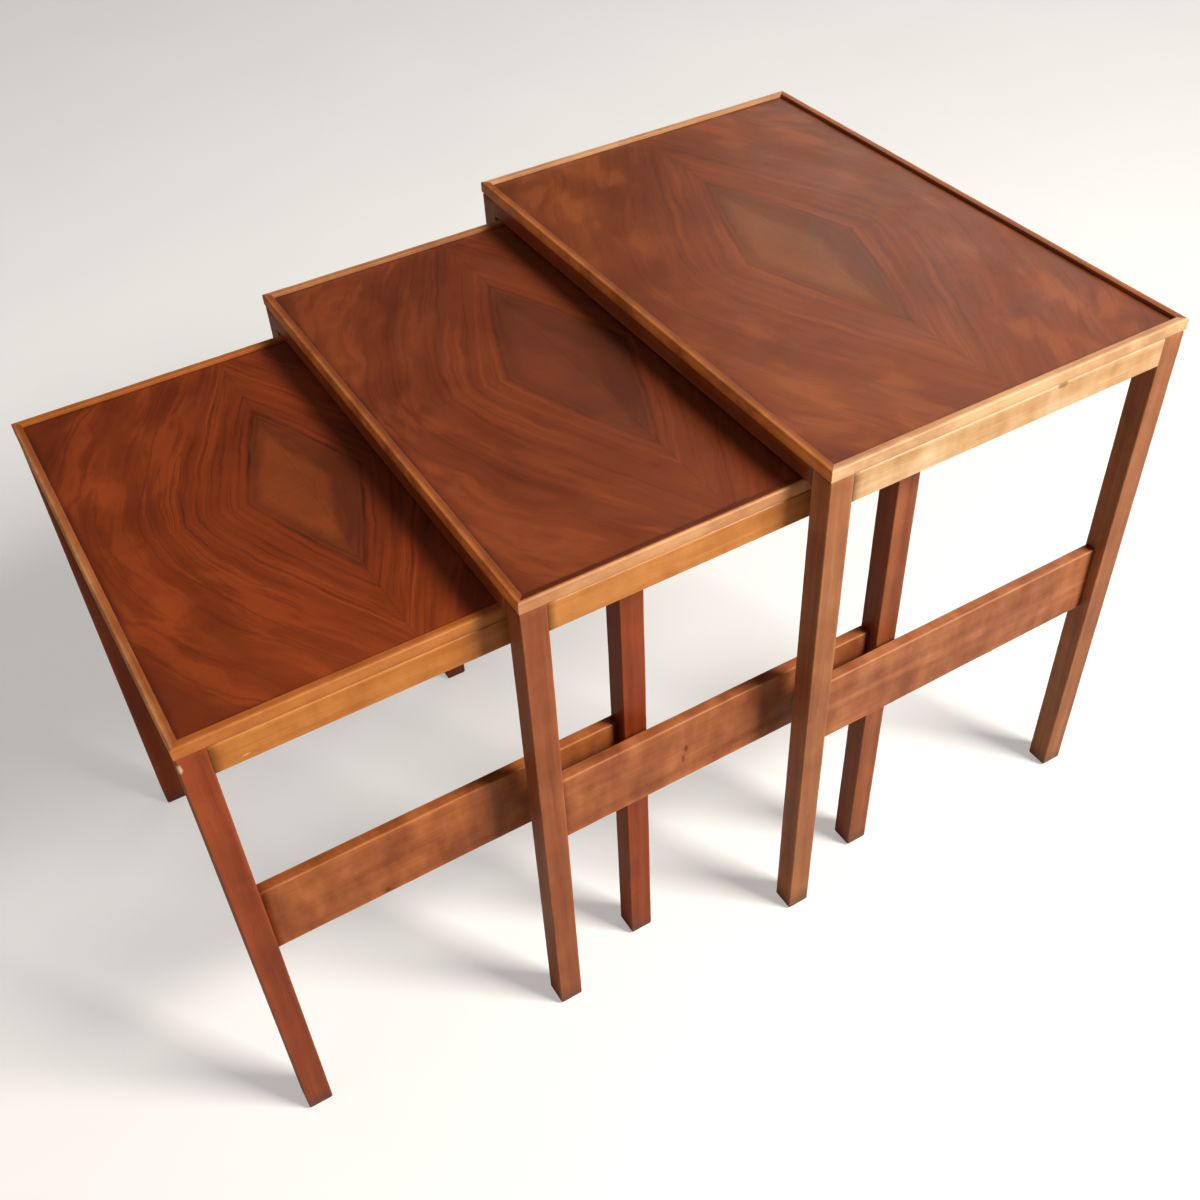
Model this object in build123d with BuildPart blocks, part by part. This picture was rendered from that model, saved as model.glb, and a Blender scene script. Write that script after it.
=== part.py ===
"""Nest of three walnut tables, each on its own frame, standing pulled out in steps.

Millimetres, +Z up. X runs along the long edges of the tops, -Y is the way the smaller
tables pull out. The origin is on the floor under the middle of the nest's footprint.
"""
from build123d import *
import math
import os

os.makedirs("parts", exist_ok=True)

# ---- sizes of the nest ----
large_width = 500.0       # long edge of the largest top
width_step = 54.0         # each table is this much narrower than the one around it
large_height = 500.0      # floor to the top of the lipping
height_step = 25.0        # each table is this much lower than the one around it
table_depth = 330.0       # short edge, the same on all three
pull_out = 221.0          # how far each table stands in front of the one around it

# ---- sizes of the top ----
lip_width = 6.6           # solid lipping round the top, seen from above
lip_height = 9.5          # lipping, top to bottom
lip_proud = 2.8           # lipping above the veneer
lip_round = 1.4           # rounding of its upper outer arris
lip_arris = 0.5           # softening of its other arrises
face_veneer = 0.6         # thickness of the matched leaves
back_veneer = 0.6         # thickness of the balancing veneer underneath
leaf_joint = 0.04         # joint line between two leaves
tongue_depth = 2.0        # tongue of the core in the groove of the lipping
tongue_thickness = 2.0
tongue_play = 0.1         # gap round the tongue, filled with glue

# ---- sizes of the frame ----
leg_size = 20.0           # square leg
lip_overhang = 0.5        # lipping beyond the outer faces of the legs
leg_arris = 0.5           # softening of the legs' long arrises
foot_chamfer = 1.5        # chamfer round the bottom of a leg
top_chamfer = 1.8         # chamfer on the frame's outer arris, under the lipping
rail_height = 25.0        # side and back rails
side_rail_thickness = 15.0
back_rail_thickness = 14.0
back_rail_set_in = 1.0    # back rail in from the back faces of the legs
front_rail_thickness = 15.0
front_rail_clearance = 1.0   # front rail above the lipping of the table that slides under it
rail_arris = 0.5
stretcher_bottom = 210.5  # floor to the lower edge of the stretchers
stretcher_height = 66.0
stretcher_thickness = 9.5
stretcher_set_in = 9.0    # stretcher in from the outer faces of the legs
stretcher_arris = 0.8

# ---- joints ----
side_tenon_thickness = 6.0
stretcher_tenon_thickness = 5.0
tenon_shoulder = 4.0      # shoulder above and below each tenon
front_tenon_shoulder = 3.0
end_tenon_thickness = 4.5    # tenons of the front and back rails
end_tenon_set_in = 4.0    # those tenons in from the front and back faces of the legs
tenon_play = 0.1          # gap on the cheeks of a tenon
mortise_end_gap = 1.0     # mortise deeper than its tenon
mortise_wall = 1.4        # wood between a side mortise and an end mortise
leg_wall = 7.0            # wood between an end mortise and the leg's outer face

# ---- screws that hold the top down ----
shank_radius = 1.75
head_radius = 3.0
head_height = 2.0
slot_width = 1.0
slot_depth = 1.0
counterbore_depth = 6.0   # head sunk into the underside of a rail
screw_in_core = 4.0       # screw above the underside of the top
head_play = 0.4           # gap round the head in its counterbore
shank_play = 0.05         # gap round the shank
screw_from_lip = 1.6      # wood between a screw hole and the lipping
screw_spread = 0.27       # screws from the middle of a rail, as a share of the table's size

nest_length = table_depth + 2 * pull_out
large_front = nest_length / 2 - table_depth

# The mortises of one leg stop short of each other and of its outer face.
end_mortise_reach = end_tenon_set_in + end_tenon_thickness + tenon_play
tenon_length = leg_size - end_mortise_reach - mortise_wall - mortise_end_gap
end_tenon_length = leg_size - leg_wall - mortise_end_gap

# The front rail fills the step down to the next table, but for its clearance.
front_rail_height = height_step - front_rail_clearance - lip_height

LEFT = -1
RIGHT = 1
side_names = {LEFT: "left", RIGHT: "right"}
mortise_ways = {"front": 1, "back": -1}   # which way the side mortises run into a leg

# One screw, standing with the underside of its head at zero and its tip up.
head_bore_radius = head_radius + head_play
shank_bore_radius = shank_radius + shank_play
screw_line = lip_width + screw_from_lip + shank_bore_radius
screw_length = rail_height - counterbore_depth + screw_in_core
tip_height = shank_radius
with BuildPart() as screw:
    with BuildSketch(Plane.XZ):
        Polygon(
            (0, -head_height),
            (head_radius - slot_depth, -head_height),
            (head_radius, -head_height / 2),
            (head_radius, 0),
            (shank_radius, 0),
            (shank_radius, screw_length - tip_height),
            (0, screw_length),
            align=None,
        )
    revolve(axis=Axis.Z)
    with BuildSketch(Plane.XY.offset(-head_height)):
        Rectangle(2 * head_radius, slot_width)
    extrude(amount=slot_depth, mode=Mode.SUBTRACT)


def save(piece, node):
    """Label a finished piece and write it to its own file."""
    piece.label = node
    export_step(piece, f"parts/{node}.step")


for number, size in enumerate(["large", "medium", "small"]):
    width = large_width - number * width_step
    height = large_height - number * height_step
    front = large_front - number * pull_out
    back = front + table_depth
    middle = (front + back) / 2

    frame_top = height - lip_height
    half_frame = width / 2 - lip_overhang
    frame_front = front + lip_overhang
    frame_back = back - lip_overhang
    inner_front = frame_front + leg_size
    inner_back = frame_back - leg_size
    rail_bottom = frame_top - rail_height
    between_legs = inner_back - inner_front
    inner_width = 2 * (half_frame - leg_size)

    # Where the screws stand: two in each side rail and two in the back rail.
    side_screws = {}
    for side in (LEFT, RIGHT):
        screw_x = side * (width / 2 - screw_line)
        side_screws[side] = [(screw_x, middle + end * screw_spread * table_depth) for end in (-1, 1)]
    back_screws = [(side * screw_spread * width, back - screw_line) for side in (LEFT, RIGHT)]
    screw_points = side_screws[LEFT] + side_screws[RIGHT] + back_screws

    # ---- top: core with a tongue all round, veneer on both faces, mitred lipping ----
    veneer_top = height - lip_proud
    core_top = veneer_top - face_veneer
    core_bottom = frame_top + back_veneer
    panel_width = width - 2 * lip_width
    panel_depth = table_depth - 2 * lip_width
    tongue_bottom = (core_top + core_bottom - tongue_thickness) / 2

    with BuildPart() as core:
        with BuildSketch(Plane.XY.offset(core_bottom)):
            with Locations((0, middle)):
                Rectangle(panel_width, panel_depth)
        extrude(amount=core_top - core_bottom)
        with BuildSketch(Plane.XY.offset(tongue_bottom)):
            with Locations((0, middle)):
                Rectangle(panel_width + 2 * tongue_depth, panel_depth + 2 * tongue_depth)
        extrude(amount=tongue_thickness)
        with BuildSketch(Plane.XY.offset(core_bottom)):
            with Locations(*screw_points):
                Circle(shank_bore_radius)
        extrude(amount=frame_top + screw_in_core + shank_play - core_bottom, mode=Mode.SUBTRACT)
    save(core.part, f"{size}_top_core")

    with BuildPart() as back_sheet:
        with BuildSketch(Plane.XY.offset(frame_top)):
            with Locations((0, middle)):
                Rectangle(panel_width, panel_depth)
            with Locations(*screw_points):
                Circle(shank_bore_radius, mode=Mode.SUBTRACT)
        extrude(amount=back_veneer)
    save(back_sheet.part, f"{size}_backing_veneer")

    leaf_width = (panel_width - leaf_joint) / 2
    leaf_depth = (panel_depth - leaf_joint) / 2
    with BuildPart() as leaves:
        with BuildSketch(Plane.XY.offset(core_top)):
            for across in (-1, 1):
                for along in (-1, 1):
                    leaf_x = across * (leaf_width + leaf_joint) / 2
                    leaf_y = middle + along * (leaf_depth + leaf_joint) / 2
                    with Locations((leaf_x, leaf_y)):
                        Rectangle(leaf_width, leaf_depth)
        extrude(amount=face_veneer)
    save(leaves.part, f"{size}_top_veneer")

    # Each length of lipping runs anticlockwise from its start corner.
    groove_low = tongue_bottom - tongue_play - frame_top
    groove_high = tongue_bottom + tongue_thickness + tongue_play - frame_top
    groove_floor = lip_width - tongue_depth - tongue_play
    round_middle = lip_round * (1 - math.cos(math.radians(45)))
    lipping = {
        "front": ((-width / 2, front), (1, 0), width),
        "right": ((width / 2, front), (0, 1), table_depth),
        "back": ((width / 2, back), (-1, 0), width),
        "left": ((-width / 2, back), (0, -1), table_depth),
    }
    for where, (start, run, length) in lipping.items():
        run_x, run_y = run
        inward = (-run_y, run_x, 0)
        section = Plane(origin=(start[0], start[1], frame_top), x_dir=inward, z_dir=(run_x, run_y, 0))
        end_corner = (start[0] + run_x * length, start[1] + run_y * length, frame_top)
        start_mitre = Plane(origin=section.origin, z_dir=(run_x - inward[0], run_y - inward[1], 0))
        end_mitre = Plane(origin=end_corner, z_dir=(-run_x - inward[0], -run_y - inward[1], 0))
        with BuildPart() as lip:
            with BuildSketch(section):
                with BuildLine():
                    Polyline(
                        (0, lip_height - lip_round),
                        (0, lip_arris),
                        (lip_arris, 0),
                        (lip_width, 0),
                        (lip_width, groove_low),
                        (groove_floor, groove_low),
                        (groove_floor, groove_high),
                        (lip_width, groove_high),
                        (lip_width, lip_height - lip_arris),
                        (lip_width - lip_arris, lip_height),
                        (lip_round, lip_height),
                    )
                    ThreePointArc(
                        (lip_round, lip_height),
                        (round_middle, lip_height - round_middle),
                        (0, lip_height - lip_round),
                    )
                make_face()
            extrude(amount=length)
            split(bisect_by=start_mitre, keep=Keep.TOP)
            split(bisect_by=end_mitre, keep=Keep.TOP)
        save(lip.part, f"{size}_lip_{where}")

    # ---- legs, with mortises for the side rail, the stretcher and the front or back rail ----
    tenon_height = rail_height - 2 * tenon_shoulder
    rail_middle = rail_bottom + rail_height / 2
    stretcher_middle = stretcher_bottom + stretcher_height / 2
    stretcher_tenon_height = stretcher_height - 2 * tenon_shoulder
    side_rail_x = half_frame - side_rail_thickness / 2
    back_rail_y = frame_back - back_rail_set_in - back_rail_thickness / 2
    stretcher_x = half_frame - stretcher_set_in - stretcher_thickness / 2
    front_rail_y = frame_front + front_rail_thickness / 2
    front_rail_middle = frame_top - front_rail_height / 2
    front_tenon_height = front_rail_height - 2 * front_tenon_shoulder
    tenon_in = end_tenon_set_in + end_tenon_thickness / 2
    # Where each end tenon stands: its Y, the middle of its height, and its height.
    end_tenons = {
        "front": (frame_front + tenon_in, front_rail_middle, front_tenon_height),
        "back": (frame_back - tenon_in, rail_middle, tenon_height),
    }

    for side in (LEFT, RIGHT):
        for end_name, way in mortise_ways.items():
            leg_x = side * (half_frame - leg_size / 2)
            leg_y = (frame_front + leg_size / 2) if end_name == "front" else (frame_back - leg_size / 2)
            inner_face = inner_front if end_name == "front" else inner_back
            with BuildPart() as leg:
                with BuildSketch(Plane.XY):
                    with Locations((leg_x, leg_y)):
                        Rectangle(leg_size, leg_size)
                extrude(amount=frame_top)
                chamfer(leg.faces().sort_by(Axis.Z)[0].edges(), foot_chamfer)
                top_edges = leg.faces().sort_by(Axis.Z)[-1].edges()
                outer_side = top_edges.filter_by(Axis.Y).sort_by(Axis.X)[-1 if side == RIGHT else 0]
                outer_end = top_edges.filter_by(Axis.X).sort_by(Axis.Y)[0 if end_name == "front" else -1]
                chamfer([outer_side, outer_end], top_chamfer)
                chamfer(leg.edges().filter_by(Axis.Z), leg_arris)
                with BuildSketch(Plane.XZ.offset(-inner_face)):
                    with Locations((side * side_rail_x, rail_middle)):
                        Rectangle(side_tenon_thickness + 2 * tenon_play, tenon_height + 2 * tenon_play)
                    with Locations((side * stretcher_x, stretcher_middle)):
                        Rectangle(stretcher_tenon_thickness + 2 * tenon_play,
                                  stretcher_tenon_height + 2 * tenon_play)
                extrude(amount=way * (tenon_length + mortise_end_gap), mode=Mode.SUBTRACT)
                end_tenon_y, end_tenon_middle, end_tenon_height = end_tenons[end_name]
                with BuildSketch(Plane.YZ.offset(side * inner_width / 2)):
                    with Locations((end_tenon_y, end_tenon_middle)):
                        Rectangle(end_tenon_thickness + 2 * tenon_play, end_tenon_height + 2 * tenon_play)
                extrude(amount=side * (end_tenon_length + mortise_end_gap), mode=Mode.SUBTRACT)
            save(leg.part, f"{size}_leg_{end_name}_{side_names[side]}")

    # ---- side rails and stretchers, tenoned into the legs at both ends ----
    for side in (LEFT, RIGHT):
        with BuildPart() as side_rail:
            with BuildSketch(Plane.XZ.offset(-inner_back)):
                with Locations((side * side_rail_x, rail_middle)):
                    Rectangle(side_rail_thickness, rail_height)
            extrude(amount=between_legs)
            long_edges = side_rail.edges().filter_by(Axis.Y)
            outer_edges = long_edges.group_by(Axis.X)[-1 if side == RIGHT else 0].sort_by(Axis.Z)
            inner_edges = long_edges.group_by(Axis.X)[0 if side == RIGHT else -1].sort_by(Axis.Z)
            chamfer(outer_edges[-1], top_chamfer)
            chamfer([outer_edges[0], inner_edges[0]], rail_arris)
            for face, way in ((inner_front, 1), (inner_back, -1)):
                with BuildSketch(Plane.XZ.offset(-face)):
                    with Locations((side * side_rail_x, rail_middle)):
                        Rectangle(side_tenon_thickness, tenon_height)
                extrude(amount=way * tenon_length)
            with BuildSketch(Plane.XY.offset(rail_bottom)):
                with Locations(*side_screws[side]):
                    Circle(head_bore_radius)
            extrude(amount=counterbore_depth, mode=Mode.SUBTRACT)
            with BuildSketch(Plane.XY.offset(rail_bottom)):
                with Locations(*side_screws[side]):
                    Circle(shank_bore_radius)
            extrude(amount=rail_height, mode=Mode.SUBTRACT)
        save(side_rail.part, f"{size}_side_rail_{side_names[side]}")

        with BuildPart() as stretcher:
            with BuildSketch(Plane.XZ.offset(-inner_back)):
                with Locations((side * stretcher_x, stretcher_middle)):
                    Rectangle(stretcher_thickness, stretcher_height)
            extrude(amount=between_legs)
            chamfer(stretcher.edges().filter_by(Axis.Y), stretcher_arris)
            for face, way in ((inner_front, 1), (inner_back, -1)):
                with BuildSketch(Plane.XZ.offset(-face)):
                    with Locations((side * stretcher_x, stretcher_middle)):
                        Rectangle(stretcher_tenon_thickness, stretcher_tenon_height)
                extrude(amount=way * tenon_length)
        save(stretcher.part, f"{size}_stretcher_{side_names[side]}")

    # ---- front rail, under the lipping and clear of the table that slides under it ----
    front_tenon_y = end_tenons["front"][0]
    with BuildPart() as front_rail:
        with BuildSketch(Plane.YZ.offset(-inner_width / 2)):
            with Locations((front_rail_y, front_rail_middle)):
                Rectangle(front_rail_thickness, front_rail_height)
        extrude(amount=inner_width)
        chamfer(front_rail.edges().filter_by(Axis.X).group_by(Axis.Z)[0], rail_arris)
        for side in (LEFT, RIGHT):
            with BuildSketch(Plane.YZ.offset(side * inner_width / 2)):
                with Locations((front_tenon_y, front_rail_middle)):
                    Rectangle(end_tenon_thickness, front_tenon_height)
            extrude(amount=side * end_tenon_length)
    save(front_rail.part, f"{size}_front_rail")

    # ---- back rail, the stop that the next table comes up against ----
    back_tenon_y = end_tenons["back"][0]
    with BuildPart() as back_rail:
        with BuildSketch(Plane.YZ.offset(-inner_width / 2)):
            with Locations((back_rail_y, rail_middle)):
                Rectangle(back_rail_thickness, rail_height)
        extrude(amount=inner_width)
        chamfer(back_rail.edges().filter_by(Axis.X).group_by(Axis.Z)[0], rail_arris)
        for side in (LEFT, RIGHT):
            with BuildSketch(Plane.YZ.offset(side * inner_width / 2)):
                with Locations((back_tenon_y, rail_middle)):
                    Rectangle(end_tenon_thickness, tenon_height)
            extrude(amount=side * end_tenon_length)
        with BuildSketch(Plane.XY.offset(rail_bottom)):
            with Locations(*back_screws):
                Circle(head_bore_radius)
        extrude(amount=counterbore_depth, mode=Mode.SUBTRACT)
        with BuildSketch(Plane.XY.offset(rail_bottom)):
            with Locations(*back_screws):
                Circle(shank_bore_radius)
        extrude(amount=rail_height, mode=Mode.SUBTRACT)
    save(back_rail.part, f"{size}_back_rail")

    # ---- the screws, up through the rails into the core ----
    head_height_from_floor = rail_bottom + counterbore_depth
    with BuildPart() as screws:
        for x, y in screw_points:
            with Locations((x, y, head_height_from_floor)):
                add(screw.part)
    save(screws.part, f"{size}_top_screws")
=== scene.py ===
import math

import bpy
import numpy as np
from mathutils import Euler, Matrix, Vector


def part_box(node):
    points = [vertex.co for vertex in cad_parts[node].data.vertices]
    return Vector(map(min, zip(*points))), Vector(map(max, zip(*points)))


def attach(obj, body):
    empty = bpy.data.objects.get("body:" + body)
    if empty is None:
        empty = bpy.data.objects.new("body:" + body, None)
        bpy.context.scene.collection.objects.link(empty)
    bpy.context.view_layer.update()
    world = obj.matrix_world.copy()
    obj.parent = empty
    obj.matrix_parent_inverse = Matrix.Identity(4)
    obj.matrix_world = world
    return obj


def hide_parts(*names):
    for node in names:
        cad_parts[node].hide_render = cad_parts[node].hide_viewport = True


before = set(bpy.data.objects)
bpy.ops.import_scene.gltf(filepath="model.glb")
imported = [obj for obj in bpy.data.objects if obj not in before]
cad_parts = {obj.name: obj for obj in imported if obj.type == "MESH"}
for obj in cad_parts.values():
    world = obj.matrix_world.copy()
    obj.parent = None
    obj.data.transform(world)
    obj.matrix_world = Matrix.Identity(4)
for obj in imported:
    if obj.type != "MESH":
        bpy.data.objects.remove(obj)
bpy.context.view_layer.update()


# ---- Core boards ----------------------------------------------------------------------
# The board inside each top is pressed from thin plies and never shows on a finished table,
# except at the screw holes. Its edges are hidden behind the lipping.

MM = 0.001
TABLES = ("large", "medium", "small")


def paint(red, green, blue):
    """A swatch given as 0 to 255, as the linear colour that a shader takes."""
    def linear(value):
        value /= 255
        return value / 12.92 if value <= 0.04045 else ((value + 0.055) / 1.055) ** 2.4
    return (linear(red), linear(green), linear(blue), 1.0)


def put(tree, kind, wires=(), **settings):
    """Adds a node, sets it up, and wires or fills its sockets."""
    node = tree.nodes.new(kind)
    for name, value in settings.items():
        setattr(node, name, value)
    for socket, value in dict(wires).items():
        if isinstance(value, bpy.types.NodeSocket):
            tree.links.new(value, node.inputs[socket])
        else:
            node.inputs[socket].default_value = value
    return node


def calc(tree, operation, *values):
    """One sum on numbers."""
    return put(tree, "ShaderNodeMath", enumerate(values), operation=operation).outputs[0]


def times(tree, value, factor):
    return calc(tree, "MULTIPLY", value, factor)


def sway(tree, value, noise, amount, middle=0.5):
    """The value, pushed up or down by as much as a noise differs from its middle."""
    return calc(tree, "MULTIPLY_ADD", calc(tree, "SUBTRACT", noise, middle), amount, value)


def vector_calc(tree, operation, *values):
    """One sum on vectors."""
    return put(tree, "ShaderNodeVectorMath", enumerate(values), operation=operation).outputs[0]


def split(tree, place):
    """The X, Y and Z of a place."""
    return put(tree, "ShaderNodeSeparateXYZ", {0: place}).outputs


def join(tree, x=0.0, y=0.0, z=0.0):
    """A place from its X, Y and Z."""
    return put(tree, "ShaderNodeCombineXYZ", {0: x, 1: y, 2: z}).outputs[0]


def fade(tree, value, start, end, low=0.0, high=1.0):
    """Rises smoothly from low to high as value goes from start to end."""
    node = put(tree, "ShaderNodeMapRange", interpolation_type="SMOOTHSTEP", wires={
        "Value": value, "From Min": start, "From Max": end, "To Min": low, "To Max": high})
    return node.outputs["Result"]


def grain_noise(tree, place, stretch, detail=3.0, roughness=0.55):
    """Noise drawn out along the axes: stretch is how many features there are to the metre."""
    drawn = vector_calc(tree, "MULTIPLY", place, stretch)
    return put(tree, "ShaderNodeTexNoise", {
        "Vector": drawn, "Scale": 1.0, "Detail": detail, "Roughness": roughness}).outputs["Fac"]


def tint(tree, factor, first, second, way="MIX"):
    """Mixes two colours."""
    return put(tree, "ShaderNodeMix", {0: factor, 6: first, 7: second},
               data_type="RGBA", blend_type=way).outputs[2]


def colour_ramp(tree, factor, stops):
    """A row of colours, each at its place from 0 to 1."""
    node = put(tree, "ShaderNodeValToRGB", {"Fac": factor})
    marks = node.color_ramp.elements
    while len(marks) < len(stops):
        marks.new(1.0)
    for mark, (place, colour) in zip(marks, stops):
        mark.position = place
        mark.color = colour
    return node.outputs["Color"]


def new_material(name):
    """An empty material with its output and its one shader."""
    material = bpy.data.materials.new(name)
    material.use_nodes = True
    tree = material.node_tree
    tree.nodes.clear()
    shader = put(tree, "ShaderNodeBsdfPrincipled")
    put(tree, "ShaderNodeOutputMaterial", {"Surface": shader.outputs["BSDF"]})
    return material, tree, shader


def feed(tree, shader, colour, roughness, height, relief):
    """Wires a colour, a roughness and a relief of so many metres into the shader."""
    bump = put(tree, "ShaderNodeBump", {"Strength": 1.0, "Distance": relief, "Height": height})
    tree.links.new(colour, shader.inputs["Base Color"])
    tree.links.new(roughness, shader.inputs["Roughness"])
    tree.links.new(bump.outputs["Normal"], shader.inputs["Normal"])


def dress(node, material):
    """Gives a CAD node its finished material."""
    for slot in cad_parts[node].material_slots:
        slot.material = material


def place_of(tree):
    return put(tree, "ShaderNodeTexCoord").outputs["Object"]


ply, tree, shader = new_material("ply_core")
PLY_THICKNESS = 1.2 * MM
layers = calc(tree, "PINGPONG", split(tree, place_of(tree))["Z"], PLY_THICKNESS)
layers = fade(tree, layers, 0.4 * PLY_THICKNESS, 0.6 * PLY_THICKNESS)
fibres = grain_noise(tree, place_of(tree), (60, 900, 400))
ply_tone = calc(tree, "MULTIPLY_ADD", layers, 0.5, times(tree, fibres, 0.5))
ply_colour = colour_ramp(tree, ply_tone, [(0.2, paint(150, 110, 72)), (0.8, paint(205, 172, 128))])
feed(tree, shader, ply_colour, fade(tree, fibres, 0.3, 0.7, 0.7, 0.85), fibres, relief=0.05 * MM)
for size in TABLES:
    dress(f"{size}_top_core", ply)


# ---- Balancing veneer underneath --------------------------------------------------------
# A plain thin leaf glued under the core keeps the top flat. It is left unpolished, so it is
# dull and a little dusty, with its grain along the table.

NUMBER, ARROW = "NodeSocketFloat", "NodeSocketVector"


def shader_group(name, takes, gives):
    """A node group with named inputs and outputs; returns it with its two end nodes."""
    group = bpy.data.node_groups.new(name, "ShaderNodeTree")
    for label, kind, value in takes:
        socket = group.interface.new_socket(label, in_out="INPUT", socket_type=kind)
        socket.default_value = value
    for label, kind in gives:
        group.interface.new_socket(label, in_out="OUTPUT", socket_type=kind)
    return group, group.nodes.new("NodeGroupInput").outputs, group.nodes.new("NodeGroupOutput")


def hand_out(group, given, results):
    """Wires what a group has made to its outputs."""
    for label, socket in results.items():
        group.links.new(socket, given.inputs[label])


def use_group(tree, group, wires):
    return put(tree, "ShaderNodeGroup", wires, node_tree=group).outputs


# Solid wood and plain veneer share one grain. Its place runs with X along the fibres, and
# Board moves it to another part of the tree.
long_grain, taken, given = shader_group(
    "long_grain",
    [("Place", ARROW, (0, 0, 0)), ("Board", NUMBER, 0.0)],
    [("Streaks", NUMBER), ("Lines", NUMBER), ("Curl", NUMBER), ("Pores", NUMBER), ("Relief", NUMBER)])
BOARD_STEP = (3.1, 1.7, 2.3)
FIBRE_WANDER = 9 * MM
board = join(long_grain, taken["Board"], taken["Board"], taken["Board"])
moved = vector_calc(long_grain, "MULTIPLY_ADD", board, BOARD_STEP, taken["Place"])
wander = put(long_grain, "ShaderNodeTexNoise", {
    "Vector": vector_calc(long_grain, "MULTIPLY", moved, (5, 16, 16)), "Scale": 1.0, "Detail": 2.0})
wander = vector_calc(long_grain, "SUBTRACT", wander.outputs["Color"], (0.5, 0.5, 0.5))
grown = vector_calc(long_grain, "MULTIPLY_ADD", wander, (0.0, FIBRE_WANDER, FIBRE_WANDER), moved)
streaks = grain_noise(long_grain, grown, (3, 75, 75), 4.0, 0.6)
rings = grain_noise(long_grain, grown, (1.5, 260, 150), 2.0)
from_ring = calc(long_grain, "ABSOLUTE", calc(long_grain, "SUBTRACT", rings, 0.5))
hairs = grain_noise(long_grain, grown, (14, 1300, 1300), 2.0)
pores = fade(long_grain, grain_noise(long_grain, grown, (130, 3600, 3600), 1.0), 0.60, 0.70)
relief = calc(long_grain, "SUBTRACT", times(long_grain, hairs, 0.5), times(long_grain, pores, 0.8))
hand_out(long_grain, given, {
    "Streaks": calc(long_grain, "MULTIPLY_ADD", hairs, 0.25, times(long_grain, streaks, 0.75)),
    "Lines": fade(long_grain, from_ring, 0.0, 0.07, 1.0, 0.0),
    "Curl": grain_noise(long_grain, grown, (48, 20, 20), 3.0),
    "Pores": pores, "Relief": relief})

# How far to turn a place so that its X runs along the fibres.
GRAIN_ALONG = {"X": (0, 0, 0), "Y": (0, 0, -math.pi / 2), "Z": (0, math.pi / 2, 0)}


def turned(tree, way):
    """The object's own place, turned so that X runs along the fibres."""
    return put(tree, "ShaderNodeMapping", {
        "Vector": place_of(tree), "Rotation": GRAIN_ALONG[way]}).outputs[0]


backing, tree, shader = new_material("backing_veneer")
grain = use_group(tree, long_grain, {"Place": turned(tree, "X"), "Board": 1.0})
dusty = grain_noise(tree, place_of(tree), (9, 9, 9), 4.0)
bare_wood = colour_ramp(tree, grain["Streaks"], [
    (0.25, paint(96, 62, 42)), (0.5, paint(132, 90, 62)), (0.75, paint(158, 114, 82))])
bare_wood = tint(tree, times(tree, grain["Lines"], 0.35), bare_wood, paint(84, 52, 36))
bare_wood = tint(tree, fade(tree, dusty, 0.5, 0.75, 0.0, 0.25), bare_wood, paint(170, 150, 128))
feed(tree, shader, bare_wood, fade(tree, dusty, 0.3, 0.7, 0.62, 0.8), grain["Relief"], relief=0.12 * MM)
for size in TABLES:
    dress(f"{size}_backing_veneer", backing)


# ---- Face veneer ------------------------------------------------------------------------
# Each top is four leaves cut one after another from a curly log and turned so that they
# mirror one another about the middle. Their slanting stripes meet in a diamond round a paler
# olive heart, under a satin polish, with painted shade darkening the veneer where it meets the lipping.

# Lengths on the leaves are in millimetres on the smallest top, and stretch with the others.
DIAMOND_LENGTH, DIAMOND_DEPTH = 110.0, 42.0
STRIPE_SLOPE = 0.34
ROUND_BEND_FROM, ROUND_BEND = 38.0, 0.34
OUTWARD_CURVE = 0.0006
LEAF_SLIP = (1.3 * MM, 0.6 * MM)

# Folds the four leaves onto one, with a hair's difference between them, and finds how far
# out a stripe lies (Out) and the place along it (Along).
matched, taken, given = shader_group(
    "four_way_match",
    [("Place", ARROW, (0, 0, 0)), ("Half Length", NUMBER, 0.11), ("Half Depth", NUMBER, 0.042)],
    [("Leaf", ARROW), ("Out", NUMBER), ("Along", NUMBER), ("Behind", NUMBER), ("Seam", NUMBER)])
spot = split(matched, taken["Place"])
from_seam_x = calc(matched, "ABSOLUTE", spot["X"])
from_seam_y = calc(matched, "ABSOLUTE", spot["Y"])
fold_x = calc(matched, "ADD", from_seam_x, times(matched, calc(matched, "SIGN", spot["Y"]), LEAF_SLIP[0]))
fold_y = calc(matched, "ADD", from_seam_y, times(matched, calc(matched, "SIGN", spot["X"]), LEAF_SLIP[1]))
leaf = join(matched, fold_x, fold_y, spot["Z"])
u = times(matched, calc(matched, "DIVIDE", fold_x, taken["Half Length"]), DIAMOND_LENGTH)
v = times(matched, calc(matched, "DIVIDE", fold_y, taken["Half Depth"]), DIAMOND_DEPTH)
# Near the heart the stripes meet in a point on both seams; further out they cross the short
# seam in a round bend.
past_point = calc(matched, "MAXIMUM", calc(matched, "SUBTRACT", v, ROUND_BEND_FROM), 0.0)
bend = times(matched, past_point, ROUND_BEND)
slant = calc(matched, "ADD", times(matched, u, u), times(matched, bend, bend))
round_u = calc(matched, "SUBTRACT", calc(matched, "SQRT", slant), bend)
out = calc(matched, "MULTIPLY_ADD", round_u, STRIPE_SLOPE, v)
out = calc(matched, "MULTIPLY_ADD", times(matched, round_u, round_u), OUTWARD_CURVE, out)
drift = calc(matched, "MINIMUM", times(matched, out, 0.16), 20.0)
out = sway(matched, out, grain_noise(matched, leaf, (11, 16, 1), 1.5), drift)
out = sway(matched, out, grain_noise(matched, leaf, (40, 60, 1), 2.0), 3.0)
seam = calc(matched, "MINIMUM", from_seam_x, from_seam_y)
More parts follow.
